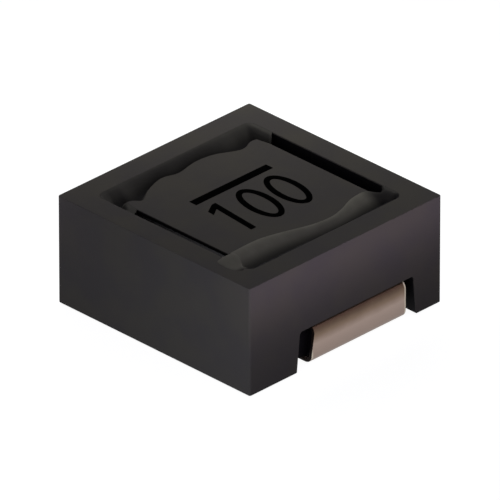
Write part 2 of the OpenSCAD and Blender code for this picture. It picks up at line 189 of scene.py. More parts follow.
class Value:
    """A shader socket that adds Math nodes when it is used in an expression."""

    def __init__(self, shader, socket):
        self.shader = shader
        self.socket = socket

    def math(self, operation, *others):
        return self.shader.add("ShaderNodeMath", {"operation": operation}, [self, *others])

    def __add__(self, other):
        return self.math("ADD", other)

    def __sub__(self, other):
        return self.math("SUBTRACT", other)

    def __mul__(self, other):
        return self.math("MULTIPLY", other)

    def __rsub__(self, other):
        return self.shader.add("ShaderNodeMath", {"operation": "SUBTRACT"}, [other, self])

    __radd__ = __add__
    __rmul__ = __mul__

    def clamped(self):
        return self.math("MINIMUM", 1.0).math("MAXIMUM", 0.0)

    def step(self, low, high):
        """0 below low, 1 above high, and a smooth ramp between them."""
        return self.shader.add("ShaderNodeMapRange", {"interpolation_type": "SMOOTHSTEP"},
                               {"Value": self, "From Min": low, "From Max": high})


class Shader:
    """A material's node tree, with one method that adds any node."""

    def __init__(self, name, **settings):
        self.material = bpy.data.materials.new(name)
        self.material.use_nodes = True
        self.tree = self.material.node_tree
        self.tree.nodes.clear()
        self.surface = self.add("ShaderNodeBsdfPrincipled", {}, {}, whole=True)
        for socket, value in settings.items():
            self.surface.inputs[socket.replace("_", " ")].default_value = value
        output = self.add("ShaderNodeOutputMaterial", {}, {}, whole=True)
        self.tree.links.new(self.surface.outputs["BSDF"], output.inputs["Surface"])

    def add(self, kind, settings, inputs, output=0, whole=False):
        """Adds a node: its settings first, then the values or links of its sockets."""
        node = self.tree.nodes.new(kind)
        for key, value in settings.items():
            if key == "stops":
                fill_ramp(node.color_ramp, value)
            else:
                setattr(node, key, value)
        pairs = inputs.items() if isinstance(inputs, dict) else enumerate(inputs)
        for key, value in pairs:
            self.feed(node.inputs[key], value)
        return node if whole else Value(self, node.outputs[output])

    def feed(self, socket, value):
        if isinstance(value, Value):
            self.tree.links.new(value.socket, socket)
        else:
            socket.default_value = value

    def place(self):
        """Object coordinates, in metres."""
        return self.add("ShaderNodeTexCoord", {}, {}, output="Object")

    def axes(self):
        split = self.add("ShaderNodeSeparateXYZ", {}, {"Vector": self.place()}, whole=True)
        return [Value(self, socket) for socket in split.outputs]

    def noise(self, grain, detail, stretch=(1, 1, 1)):
        """Noise from 0 to 1 whose features are about grain metres across."""
        mapping = self.add("ShaderNodeMapping", {}, {"Vector": self.place(), "Scale": stretch})
        return self.add("ShaderNodeTexNoise", {},
                        {"Vector": mapping, "Scale": 1 / grain, "Detail": detail, "Roughness": 0.55})

    def specks(self, grain):
        """Distance from scattered points about grain metres apart, in grains."""
        return self.add("ShaderNodeTexVoronoi", {}, {"Vector": self.place(), "Scale": 1 / grain})

    def mix(self, share, first, second):
        """A colour between two, at a share from 0 to 1."""
        node = self.add("ShaderNodeMix", {"data_type": "RGBA"}, {}, whole=True)
        for socket, value in zip((node.inputs[0], node.inputs[6], node.inputs[7]), (share, first, second)):
            self.feed(socket, value)
        return Value(self, node.outputs[2])

    def bump(self, height, depth, strength, under=None):
        """Relief of a height from 0 to 1 over a depth in metres, added to the relief under it."""
        inputs = {"Height": height, "Distance": depth, "Strength": strength}
        if under is not None:
            inputs["Normal"] = under
        return self.add("ShaderNodeBump", {}, inputs)

    def set(self, **links):
        """Feeds the surface's sockets, named with _ for a space."""
        for name, value in links.items():
            self.feed(self.surface.inputs[name.replace("_", " ")], value)
        return self.material


def fill_ramp(ramp, stops):
    """Gives a colour ramp its stops, each a place and a colour."""
    while len(ramp.elements) < len(stops):
        ramp.elements.new(0.5)
    for element, (position, tint) in zip(ramp.elements, stops):
        element.position = position
        element.color = tint


def tinted(rgb, factor=1, shift=(1, 1, 1)):
    """An opaque colour, made lighter or darker, with its hue shifted a little."""
    return (*[min(1.0, c * factor * s) for c, s in zip(rgb, shift)], 1.0)


# ---------------------------------------------------------------- materials

def inside_the_shield(s):
    """Where painted shade goes: 1 on the shield's hidden walls, and 0 on its outer faces, its top and its feet."""
    x, y, z = s.axes()
    depth = SHIELD_HIGH.x - x.math("ABSOLUTE").math("MAXIMUM", y.math("ABSOLUTE"))
    below = SHIELD_HIGH.z - z
    above = z - SHIELD_LOW.z
    return depth.math("MINIMUM", below.math("MINIMUM", above)).step(0.02 * MM, 0.05 * MM)


def below_the_land(s):
    """Where painted shade goes: 1 on the drum's sides and flanges, and 0 on its top."""
    z = s.axes()[2]
    return (DRUM_HIGH.z - z).step(0.015 * MM, 0.04 * MM)


def ferrite_material(colours, name, hidden_wall_shade):
    """Sintered ferrite: ground outer faces with fine matt grain, faint clouds and tiny pits.

    The last argument gives the share of painted shade: a near-black colour on the hidden walls down the gaps, where
    shade falls.
    """
    s = Shader(name, Specular_IOR_Level=0.05)
    grain = s.noise(0.035 * MM, 4.0)
    clouds = s.noise(1.6 * MM, 2.0)
    pits = s.specks(0.16 * MM).step(0.10, 0.02)
    # film is the share of painted shade, which turns the hidden walls near black.
    film = hidden_wall_shade(s)
    base = s.mix(clouds.step(0.35, 0.65), tinted(colours.ferrite, 0.95, (0.98, 0.98, 1.04)),
                 tinted(colours.ferrite, 1.05, (1.0, 1.0, 0.95)))
    grained = s.mix(grain.step(0.3, 0.8) * 0.3, base, tinted(colours.ferrite, 1.3))
    pitted = s.mix(pits * 0.3, grained, tinted(colours.ferrite, 0.35))
    # Painted shade: the hidden walls take the near-black gap colour.
    walls_shaded = s.mix(film, pitted, tinted(colours.gap_shade))
    fine = s.bump(grain, 0.004 * MM, 0.3)
    return s.set(Base_Color=walls_shaded, Roughness=0.7 + 0.14 * grain - 0.2 * film,
                 Normal=s.bump(1 - pits, 0.004 * MM, 0.3, fine))


def wavering(s, z, size):
    """A height that wanders by half a size, in millimetres, to each side."""
    return z + size * MM * (s.noise(0.5 * MM, 2.0) - 0.5)


def under_the_rim(z, low, high):
    """0 at low and 1 at high, both in millimetres under the shield's rim."""
    return z.step(SHIELD_HIGH.z - low * MM, SHIELD_HIGH.z - high * MM)


def front_highlight_mask(s):
    """1 on the front bead's crest, where it takes a painted highlight, and 0 where it rolls down to the shield and
    takes painted shade.
    """
    y, z = s.axes()[1:]
    along_the_wall = (0 - y).step(RESIN_REACH - 0.32 * MM, RESIN_REACH - 0.08 * MM)
    return under_the_rim(wavering(s, z, 0.03), 0.35, 0.16) * (1 - along_the_wall)


def rear_shade_mask(s):
    """1 where the rear bead climbs to the rim, and 0 down in its hollow, where it takes painted shade."""
    z = s.axes()[2]
    return under_the_rim(wavering(s, z, 0.05), 0.42, 0.13)


def left_film_shade_mask(s):
    """1 where the resin in the left gap clings to the shield, and 0 beside the drum, where it takes painted shade.
    """
    x = s.axes()[0]
    return (0 - x).step(DRUM_HIGH.x + 0.2 * MM, DRUM_HIGH.x + 0.56 * MM)


def resin_material(colours, name, high, crest=None):
    """Cured epoxy with slow swells.

    high says where it lies high and pale, and 0 where it takes painted shade, near black. crest is a paler colour,
    a painted highlight, that it has there, from its left end up to the right gap.
    """
    s = Shader(name, Specular_IOR_Level=0.04)
    swell = s.noise(0.5 * MM, 2.0)
    grain = s.noise(0.05 * MM, 3.0)
    # Painted shade: the resin runs from its own colour, where high is 1, to near black, where it is 0.
    pale, shade_colour = tinted(colours.resin), tinted(colours.resin_shade)
    # Painted highlight: the crest colour, from the left end up to the right gap.
    if crest:
        x = s.axes()[0]
        pale = s.mix(x.step(DRUM_HIGH.x - 0.35 * MM, DRUM_HIGH.x + 0.1 * MM), crest, pale)
    swelling = s.mix(swell.step(0.3, 0.7) * 0.12, pale, shade_colour)
    rounded = s.bump(swell, 0.02 * MM, 0.3)
    return s.set(Base_Color=s.mix(high(s), shade_colour, swelling), Roughness=0.68 + 0.14 * swell,
                 Normal=s.bump(grain, 0.002 * MM, 0.25, rounded))


def plating_material(colours):
    """Tin-plated strip: satin metal with rolling lines, with painted shade that turns brown and dark towards its
    top and dark along its foot.

    Its upright edges carry painted highlights, the left one only on its lower half.
    """
    s = Shader("tin_plating")
    lines = s.noise(0.02 * MM, 2.0, (0.06, 1, 1))
    cloud = s.noise(0.45 * MM, 4.0)
    scratches = s.noise(0.012 * MM, 1.0, (1, 0.05, 0.05)).step(0.66, 0.72)
    x, y, z = s.axes()
    height = (z + 0.08 * MM * (cloud - 0.5)).math("DIVIDE", PAD_HIGH.z)
    # Painted shade up the terminal: dark brown along its foot, darker plating just above it, the plating's own
    # colour in the middle, then the brown band and dark brown at the top, where the notch's edge shades it.
    stops = ((0.0, tinted(colours.brown_shade)), (0.07, tinted(colours.plating, 0.76)),
             (0.5, tinted(colours.plating)), (0.72, tinted(colours.film)), (0.92, tinted(colours.brown_shade)))
    film = s.add("ShaderNodeValToRGB", {"stops": stops}, {"Fac": height})
    # Painted highlights along the upright edges: the right one whole, the left one on its lower half, both from a
    # little above the foot.
    along = x * y.math("SIGN") * -1
    right = along.step(PAD_HIGH.x - 0.07 * MM, PAD_HIGH.x - 0.03 * MM)
    lower = 1 - z.step(0.5 * MM, 0.8 * MM)
    left = (along + 0.1 * z).step(PAD_LOW.x + 0.1 * MM, PAD_LOW.x + 0.06 * MM) * lower
    base = s.mix((right + left) * z.step(0.1 * MM, 0.2 * MM), film, tinted(colours.edge_highlight))
    rough = 0.42 + 0.12 * cloud + 0.06 * lines
    return s.set(Base_Color=base, Metallic=0.85 - 0.1 * cloud, Roughness=rough,
                 Normal=s.bump(lines - 0.5 * scratches, 0.002 * MM, 0.3))


def side_shade_material(colours):
    """The strip's sides along X, painted dark as shade."""
    s = Shader("strip_sides_shade", Specular_IOR_Level=0.1)
    shear = s.noise(0.05 * MM, 3.0)
    base = s.mix(shear.step(0.3, 0.7), tinted(colours.moulding), tinted(colours.brown_shade, 0.3))
    return s.set(Base_Color=base, Metallic=0.2 + 0.2 * shear, Roughness=0.6 + 0.2 * shear,
                 Normal=s.bump(shear, 0.002 * MM, 0.2))


def moulding_material(colours):
    """Black moulded plastic with a fine spark-eroded texture."""
    s = Shader("moulded_black", Specular_IOR_Level=0.04)
    grain = s.noise(0.04 * MM, 3.0)
    flow = s.noise(0.8 * MM, 2.0, (1, 0.4, 1))
    base = s.mix(flow.step(0.35, 0.65), tinted(colours.moulding, 0.85), tinted(colours.moulding, 1.15))
    return s.set(Base_Color=base, Roughness=0.6 + 0.12 * grain, Normal=s.bump(grain, 0.003 * MM, 0.4))


def enamel_material(colours):
    """Enamelled copper wire: metal under a clear glossy coat."""
    s = Shader("enamelled_copper", Coat_Roughness=0.12, Coat_IOR=1.6)
    draw = s.noise(0.05 * MM, 2.0)
    cloud = s.noise(0.6 * MM, 2.0)
    base = s.mix(cloud.step(0.35, 0.65), tinted(colours.enamel, 0.8), tinted(colours.enamel, 1.1))
    return s.set(Base_Color=base, Metallic=0.8 + 0.15 * cloud, Roughness=0.3 + 0.1 * draw,
                 Coat_Weight=0.7 + 0.2 * cloud, Normal=s.bump(draw, 0.002 * MM, 0.2))


def solder_material(colours):
    """Solder: bright, with a frosted skin in places."""
    s = Shader("solder_metal")
    frost = s.noise(0.08 * MM, 4.0)
    base = s.mix(frost.step(0.4, 0.65), tinted(colours.solder), tinted(colours.solder, 0.7))
    return s.set(Base_Color=base, Metallic=0.95 - 0.1 * frost, Roughness=0.2 + 0.25 * frost,
                 Normal=s.bump(frost, 0.004 * MM, 0.35))


def adhesive_material(colours):
    """Cured adhesive film, slightly mottled."""
    s = Shader("adhesive_film", Specular_IOR_Level=0.4)
    mottle = s.noise(0.3 * MM, 3.0)
    base = s.mix(mottle, tinted(colours.adhesive, 0.85), tinted(colours.adhesive, 1.1))
    return s.set(Base_Color=base, Roughness=0.35 + 0.2 * mottle, Normal=s.bump(mottle, 0.006 * MM, 0.3))


def ink_material(colours):
    """Marking ink: dense black, a little uneven where it soaked into the grain."""
    s = Shader("marking_ink", Specular_IOR_Level=0.0)
    soak = s.noise(0.05 * MM, 3.0)
    base = s.mix(soak.step(0.55, 0.8), tinted(colours.ink), tinted(colours.ink, 2.2))
    return s.set(Base_Color=base, Roughness=0.6 + 0.2 * soak, Normal=s.bump(soak, 0.002 * MM, 0.2))


# ---------------------------------------------------------------- meshes and pieces

def finish_piece(name, mesh, material, slot, *replaced, sides=None):
    """Links a mesh as a piece that rides on the object's body; sides is the material of its faces along X."""
    mesh.materials.clear()
    mesh.materials.append(material)
    if sides:
        mesh.materials.append(sides)
        for polygon in mesh.polygons:
            polygon.material_index = 1 if abs(polygon.normal.x) > SIDE_FACING else 0
    piece = bpy.data.objects.new(name, mesh)
    bpy.context.scene.collection.objects.link(piece)
    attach(piece, BODY)
    if replaced:
        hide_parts(*replaced)
    return piece


def smooth_but_sharp(mesh, angle):
    """Shades a mesh smooth, apart from the edges that turn by more than angle degrees."""
    for polygon in mesh.polygons:
        polygon.use_smooth = True
    mesh.set_sharp_from_angle(angle=math.radians(angle))


def finish_node(node, edge, material, slot, sides=None):
    """Replaces a node by its softened copy."""
    finish_piece(node + "_finish", softened_copy(node, edge), material, slot, node, sides=sides)


def softened_copy(node, edge):
    """A node's solid as one joined mesh, its sharp edges broken by edge metres."""
    mesh = bpy.data.meshes.new(node + "_finish")
    shape = bmesh.new()
    shape.from_mesh(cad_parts[node].data)
    bmesh.ops.remove_doubles(shape, verts=shape.verts, dist=MERGE_DISTANCE)
    bmesh.ops.dissolve_limit(
        shape, angle_limit=math.radians(FLAT_ANGLE), verts=shape.verts, edges=shape.edges)
    sharp = [e for e in shape.edges
             if len(e.link_faces) == 2 and e.calc_face_angle() > math.radians(BROKEN_ANGLE)]
    soft = bmesh.ops.bevel(shape, geom=sharp, offset=edge, segments=2, profile=0.6, affect="EDGES",
                           clamp_overlap=True, harden_normals=False)
    normals = hard_normals(shape, set(soft["faces"]))
    bmesh.ops.triangulate(shape, faces=[f for f in shape.faces if len(f.verts) > 4])
    shape.to_mesh(mesh)
    shape.free()
    for polygon in mesh.polygons:
        polygon.use_smooth = True
    mesh.normals_split_custom_set_from_vertices(normals)
    return mesh


def hard_normals(shape, soft):
    """A normal for each vertex, taken from the faces that aren't soft edges, so that flat faces stay flat."""
    normals = []
    for vertex in shape.verts:
        faces = [f for f in vertex.link_faces if f not in soft] or vertex.link_faces
        normals.append(sum((f.normal * f.calc_area() for f in faces), Vector()).normalized())
    return normals


def mesh_from(name, points, faces):
    """A mesh of points and faces."""
    mesh = bpy.data.meshes.new(name)
    mesh.from_pydata([tuple(p) for p in points], [], faces)
    mesh.update()
    return mesh


# ---------------------------------------------------------------- winding

def ease(t):
    """0 to 1 with a soft start and end."""
    return (1 - math.cos(math.pi * t)) / 2


def quarter_bend(corner, start, end, radius, steps=8):
    """Points of a quarter bend from direction start to direction end round a corner."""
    points = []
    for k in range(steps + 1):
        a = math.pi / 2 * k / steps
        points.append(corner - start * radius * (1 - math.sin(a)) + end * radius * (1 - math.cos(a)))
    return points


def coil_points(sizes, start_r, low, high, exit_angle):
    """Points of the layers, which climb outwards between the flanges, from the start to the exit."""
    pitch = sizes.wire_diameter + sizes.turn_gap
    climb = math.radians(sizes.climb_angle)
    climbs = (sizes.layers - 1) * climb
    turn = 2 * math.pi
    full_layer = turn * (high - low) / pitch
    turns = math.floor((sizes.layers * full_layer + climbs - math.pi + exit_angle) / turn)
    total = turn * turns + math.pi - exit_angle
    layer = (total - climbs) / sizes.layers
    steps = round(total / turn * sizes.turn_steps)
    points = []
    for k in range(1, steps + 1):
        a = total * k / steps
        i = min(int(a / (layer + climb)), sizes.layers - 1)
        rest = a - i * (layer + climb)
        share = min(1, rest / layer)
        height = share if i % 2 == 0 else 1 - share
        rise = ease(max(0, (rest - layer) / climb)) if i < sizes.layers - 1 else 0
        r = start_r + (i + rise) * pitch
        x, y = r * math.cos(math.pi - a), r * math.sin(math.pi - a)
        points.append(Vector((x, y, low + height * (high - low))))
    return points


def wire_path(sizes):
    """The whole wire, from the front tail through the coil to the rear tail."""
    wire, gap = sizes.wire_diameter, sizes.turn_gap
    start_r = sizes.post_diameter / 2 + gap + wire / 2
    low = DRUM_LOW.z + sizes.bottom_flange + gap + wire / 2
    high = DRUM_HIGH.z - sizes.top_flange - gap - wire / 2
    lead_y = DRUM_HIGH.y - sizes.lead_inset
    bend = sizes.lead_bend + wire / 2
    run_z = low - wire - 3 * gap
    tail_z = WIRE_LOW.z + wire / 2
    tail_x = sizes.tail_end
    outer_r = start_r + (sizes.layers - 1) * (wire + gap)
    exit_angle = math.atan2(lead_y, start_r) + math.acos(outer_r / math.hypot(start_r, lead_y))
    coil = coil_points(sizes, start_r, low, high, exit_angle)
    left, up, back = Vector((-1, 0, 0)), Vector((0, 0, 1)), Vector((0, 1, 0))
    front = [Vector((tail_x, -lead_y, tail_z))]
    front += quarter_bend(Vector((-start_r, -lead_y, tail_z)), left, up, bend)
    front += quarter_bend(Vector((-start_r, -lead_y, run_z)), up, back, bend)
    rise, rise_steps = 3 * wire, 8
    for k in range(rise_steps + 1):
        share = k / rise_steps
        front.append(Vector((-start_r, -rise * (1 - share), run_z + (low - run_z) * ease(share))))
    leave = (Vector((start_r, lead_y, low)) - coil[-1]).normalized()
    rear = quarter_bend(Vector((start_r, lead_y, low)), leave, -up, bend)
    rear += quarter_bend(Vector((start_r, lead_y, tail_z)), -up, left, bend)
    rear.append(Vector((-tail_x, lead_y, tail_z)))
    return front + coil + rear


def wire_tree():
    """Geometry Nodes that draw a round wire along a path of edges."""
    tree = bpy.data.node_groups.new("drawn_wire", "GeometryNodeTree")
    for name, kind in (("Geometry", "Geometry"), ("Radius", "Float"), ("Sides", "Int"), ("Finish", "Material")):
        tree.interface.new_socket(name, in_out="INPUT", socket_type="NodeSocket" + kind)
    tree.interface.new_socket("Geometry", in_out="OUTPUT", socket_type="NodeSocketGeometry")
    start, to_curve, ring, sweep, smooth, realize, paint, end = [tree.nodes.new(kind) for kind in (
        "NodeGroupInput", "GeometryNodeMeshToCurve", "GeometryNodeCurvePrimitiveCircle", "GeometryNodeCurveToMesh",
        "GeometryNodeSetShadeSmooth", "GeometryNodeRealizeInstances", "GeometryNodeSetMaterial", "NodeGroupOutput")]
    sweep.inputs["Fill Caps"].default_value = True
    for source, output, target, socket in (
            (start, "Geometry", to_curve, "Mesh"), (start, "Radius", ring, "Radius"),
            (start, "Sides", ring, "Resolution"), (to_curve, "Curve", sweep, "Curve"),
            (ring, "Curve", sweep, "Profile Curve"), (sweep, "Mesh", smooth, "Geometry"),
            (smooth, "Geometry", realize, "Geometry"), (realize, "Geometry", paint, "Geometry"),
            (start, "Finish", paint, "Material"), (paint, "Geometry", end, "Geometry")):
        tree.links.new(source.outputs[output], target.inputs[socket])
    return tree


def grown(name, mesh, tree, inputs):
    """The plain mesh that a Geometry Nodes tree makes of a mesh."""
    source = bpy.data.objects.new(name + "_path", mesh)
    bpy.context.scene.collection.objects.link(source)
    modifier = source.modifiers.new("grow", "NODES")
    modifier.node_group = tree
    sockets = {i.name: i.identifier for i in tree.interface.items_tree if i.in_out == "INPUT"}
    for key, value in inputs.items():
        modifier[sockets[key]] = value
    evaluated = source.evaluated_get(bpy.context.evaluated_depsgraph_get())
    result = bpy.data.meshes.new_from_object(evaluated)
    bpy.data.objects.remove(source)
    return result


# ---------------------------------------------------------------- resin

def bead_stations(node):
    """Stations across a resin bead, read from its solid: [x, nearest, farthest distance]."""
    shoulder = DRUM_HIGH.z - 0.3 * MM
    columns = {}
    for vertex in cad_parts[node].data.vertices:
        if vertex.co.z > shoulder:
            columns.setdefault(round(vertex.co.x / MM, 4), []).append(abs(vertex.co.y))
    return [(x * MM, min(found), max(found)) for x, found in sorted(columns.items())]


def refined(stations, steps=3):
    """The stations with more of them between, on the same outline."""
    result = []
    for first, second in zip(stations, stations[1:]):
        for k in range(steps):
            result.append(tuple(a + (b - a) * k / steps for a, b in zip(first, second)))
    return result + [stations[-1]]


def closed_loft(name, points, row):
    """A closed mesh through sections of row points each, shaded smooth apart from its corners."""
    faces = []
    sections = len(points) // row
    for i in range(sections - 1):
        for j in range(row):
            k = (j + 1) % row
            faces.append((i * row + j, i * row + k, (i + 1) * row + k, (i + 1) * row + j))
    last = (sections - 1) * row
    faces += [tuple(range(row))[::-1], tuple(range(last, last + row))]
    mesh = mesh_from(name, points, faces)
    tidy = bmesh.new()
    tidy.from_mesh(mesh)
    bmesh.ops.recalc_face_normals(tidy, faces=tidy.faces)
    tidy.to_mesh(mesh)
    tidy.free()
    smooth_but_sharp(mesh, LOFT_ANGLE)
    return mesh


def hollow(t, deepest, roll):
    """Depth of a bead's hollow, from 0 to 1, at the share t of the way from its start to the shield."""
    if t < deepest:
        return roll * ease(t / deepest) + (1 - roll) * math.sin(math.pi / 2 * t / deepest)
    return ease((1 - t) / (1 - deepest))


def bead_mesh(node, sizes, deepest, roll, ends):
    """A resin bead between the land's wavy edge and the shield, as a closed mesh.

    roll is 1 where the bead rolls off the land and 0 where it drops from it. ends gives two values for the left
    end and for the right end. The first is the pair of shares of the side gap where the bead starts and stops to
    climb to the rim, or None. The second is how far inside the flange's edge its hollow starts in the side gap,
    or 0 where the hollow runs on to the bead's end.
    """
    stations = refined(bead_stations(node))
    half = DRUM_HIGH.x
    side = 1 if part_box(node)[0].y > 0 else -1
    land, rim = DRUM_HIGH.z, SHIELD_HIGH.z
    bottom = land - sizes.bead_depth
    gap = max(stations)[0] - half
    inner = [s for s in stations if abs(s[0]) < EVEN_STRETCH * half]
    edges = (inner[0][1], inner[-1][1])
    points = []
    for x, near, far in stations:
        hand = 0 if x < 0 else 1
        past = max(0.0, (abs(x) - half) / gap)
        rise, bite = ends[hand]
        climb = ease(min(1, max(0, (past - rise[0]) / (rise[1] - rise[0])))) if rise else 0
        start = near
        if abs(x) > CORNER_START * half:
            away = min(1, 2 * past)
            start = max(near, (1 - away) * edges[hand] + away * (half - bite)) if bite else edges[hand]
        for j in range(sizes.resin_steps + 1):
            y = near + (far - near) * j / sizes.resin_steps
            t = max(0.0, (y - start) / (far - start))
            dip = hollow(t, deepest, roll)
            if not bite and hand and x > WEB_START * half and t < deepest:
                blend = min(1, (x / half - WEB_START) / WEB_BLEND)
                dip += blend * (max(dip, min(1, (y - near) / sizes.web_width)) - dip)
            sunk = sizes.hollow_depth * dip * math.cos(math.pi / 2 * climb)
            points.append((x, side * y, land + (rim - land) * max(t, climb) - sunk))
        points += [(x, side * far, bottom), (x, side * near, bottom)]
    return closed_loft(node + "_finish", points, sizes.resin_steps + 3)


def film_mesh(node):
    """The resin in the left gap, which lies against the shield and falls towards the drum, as a closed mesh."""
    vertices = [v.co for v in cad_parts[node].data.vertices]
    bottom = min(v.z for v in vertices)
    tops = [v for v in vertices if v.z > bottom + 0.1 * MM]
    tops.sort(key=lambda v: (round(v.x / MM, 4), v.y))
    outer, inner = tops[0].x, tops[-1].x
    high, low = tops[0].z, tops[-1].z
    sections = refined([(a.x, a.y, b.y) for a, b in zip(tops[::2], tops[1::2])])
    points = []
    for x, front, rear in sections:
        z = low + (high - low) * math.sin(math.pi / 2 * (inner - x) / (inner - outer))
        points += [(x, front, bottom), (x, rear, bottom), (x, rear, z), (x, front, z)]
    return closed_loft(node + "_finish", points, 4)


def rounded_loop(corners, steps=8):
    """A closed smooth curve through corners, as points (Catmull-Rom)."""
    total = len(corners)
    points = []
    for i in range(total):
        before, start, end, after = (Vector(corners[(i + k) % total]) for k in (-1, 0, 1, 2))
        for k in range(steps):
            u = k / steps
            points.append(0.5 * (2 * start + (end - before) * u
                                 + (2 * before - 5 * start + 4 * end - after) * u ** 2
                                 + (3 * start - before - 3 * end + after) * u ** 3))
    return points


def smear_mesh(sizes):
    """Resin smeared over the rim at the front left corner, as a low closed mound."""
    edge = [p * MM for p in rounded_loop(SMEAR_OUTLINE)]
    middle = sum(edge, Vector((0, 0))) / len(edge)
    rings, tip, fullness = 6, 0.04, 0.7
    start = SHIELD_HIGH.z - 0.002 * MM
    loops = [(1.0, SHIELD_HIGH.z - sizes.smear_height)]
    for k in range(rings + 1):
        share = k / rings
        scale = math.cos(math.pi / 2 * share) if share < 1 else tip
        loops.append((scale, start + sizes.smear_height * math.sin(math.pi / 2 * share) ** fullness))
    points = [(*(middle + (p - middle) * scale), z) for scale, z in loops for p in edge]
    return closed_loft("resin_smear", points, len(edge))


# ---------------------------------------------------------------- marking

def leaning(points, slant, middle):
    """Outline points leaned to the right about a height, for italic digits."""
    lean = math.tan(math.radians(slant))
    return [(x + (y - middle) * lean, y) for x, y in points]


def ellipse(centre, width, height, steps=72):
    """Outline points of an ellipse."""
    return [(centre[0] + width / 2 * math.cos(2 * math.pi * k / steps),
             centre[1] + height / 2 * math.sin(2 * math.pi * k / steps)) for k in range(steps)]


def inked(shape, loops, low, high):
    """Adds ink to a mesh: one outline, or a ring between two outlines."""
    rings = [[[shape.verts.new((x, y, z)) for x, y in loop] for z in (low, high)] for loop in loops]
    total = len(loops[0])
    for below, above in rings:
        for k in range(total):
            shape.faces.new((below[k], below[(k + 1) % total], above[(k + 1) % total], above[k]))
    for level in (0, 1):
        if len(rings) == 1:
            shape.faces.new(rings[0][level])
        else:
            outer, inner = rings[0][level], rings[1][level]
            for k in range(total):
                shape.faces.new((outer[k], outer[(k + 1) % total], inner[(k + 1) % total], inner[k]))


def marking_mesh(sizes):
    """A plain bar over three plain digits, one upright and two round."""
    stroke, tall, wide = sizes.stroke, sizes.digit_height, sizes.digit_width
    middle_y = sizes.digits_y
    low = DRUM_HIGH.z - 0.5 * sizes.ink_thickness
    high = DRUM_HIGH.z + sizes.ink_thickness
    shape = bmesh.new()
    for x in (sizes.first_round_x, sizes.first_round_x + wide + sizes.digit_gap):
        outlines = [ellipse((x, middle_y), wide - 2 * inset, tall - 2 * inset) for inset in (0, stroke)]
        inked(shape, [leaning(o, sizes.slant, middle_y) for o in outlines], low, high)
    x, flag = sizes.upright_x, sizes.flag_reach
    top, foot = middle_y + sizes.upright_height / 2, middle_y - sizes.upright_height / 2
    upright = [(x, foot), (x + stroke, foot), (x + stroke, top), (x + 0.25 * stroke, top),
               (x - flag, top - 0.75 * flag), (x - flag, top - 0.75 * flag - 1.25 * stroke),
               (x, top - 1.35 * stroke)]
    inked(shape, [leaning(upright, sizes.slant, middle_y)], low, high)
    left, right = sizes.bar_left, sizes.bar_right
    y0, y1 = sizes.bar_y - sizes.bar_width / 2, sizes.bar_y + sizes.bar_width / 2
    inked(shape, [[(left, y0), (right, y0), (right, y1), (left, y1)]], low, high)
    bmesh.ops.recalc_face_normals(shape, faces=shape.faces)
    mesh = bpy.data.meshes.new("marking")
    shape.to_mesh(mesh)
    shape.free()
    return mesh


# ---------------------------------------------------------------- operators

class INDUCTOR_OT_cores(bpy.types.Operator):
    """Finish the ferrite shield and drum"""
    bl_idname = "inductor.cores"
    bl_label = "Ferrite cores"

    def execute(self, context):
        sizes, colours = context.scene.inductor_sizes, context.scene.inductor_colours
        # Each core's mask says where its painted shade goes.
        for node, hidden_wall_shade in (("shield_core", inside_the_shield), ("drum_core", below_the_land)):
            ferrite = ferrite_material(colours, node + "_ferrite", hidden_wall_shade)
            finish_node(node, sizes.ferrite_edge, ferrite, "ferrite")
        return {"FINISHED"}


class INDUCTOR_OT_base(bpy.types.Operator):
    """Finish the moulded base and the bond on it"""
    bl_idname = "inductor.base"
    bl_label = "Base and bond"

    def execute(self, context):
        sizes, colours = context.scene.inductor_sizes, context.scene.inductor_colours
        finish_node("base", sizes.moulded_edge, moulding_material(colours), "moulding")
        finish_node("drum_bond", 0.3 * sizes.moulded_edge, adhesive_material(colours), "adhesive")
        return {"FINISHED"}


class INDUCTOR_OT_terminals(bpy.types.Operator):
    """Finish the folded terminals and the solder at the leads"""
    bl_idname = "inductor.terminals"
    bl_label = "Terminals and solder"

    def execute(self, context):
        sizes, colours = context.scene.inductor_sizes, context.scene.inductor_colours
        plating, shaded_sides, solder = plating_material(colours), side_shade_material(colours), solder_material(colours)
        for end in ("front", "rear"):
            # The strip's sides along X take painted shade.
            finish_node("terminal_" + end, sizes.strip_edge, plating, "terminal_plating", shaded_sides)
            finish_node("solder_" + end, 0.1 * sizes.strip_edge, solder, "solder")
        return {"FINISHED"}


class INDUCTOR_OT_winding(bpy.types.Operator):
    """Draw the enamelled wire along its path"""
    bl_idname = "inductor.winding"
    bl_label = "Winding"

    def execute(self, context):
        sizes = context.scene.inductor_sizes
        enamel = enamel_material(context.scene.inductor_colours)
        path = wire_path(sizes)
        mesh = bpy.data.meshes.new("wire_path")
        mesh.from_pydata([tuple(p) for p in path], [(k, k + 1) for k in range(len(path) - 1)], [])
        inputs = {"Radius": sizes.wire_diameter / 2, "Sides": sizes.wire_sides, "Finish": enamel}
        wire = grown("wire", mesh, wire_tree(), inputs)
        finish_piece("winding_finish", wire, enamel, "enamelled_wire", "winding")
        return {"FINISHED"}


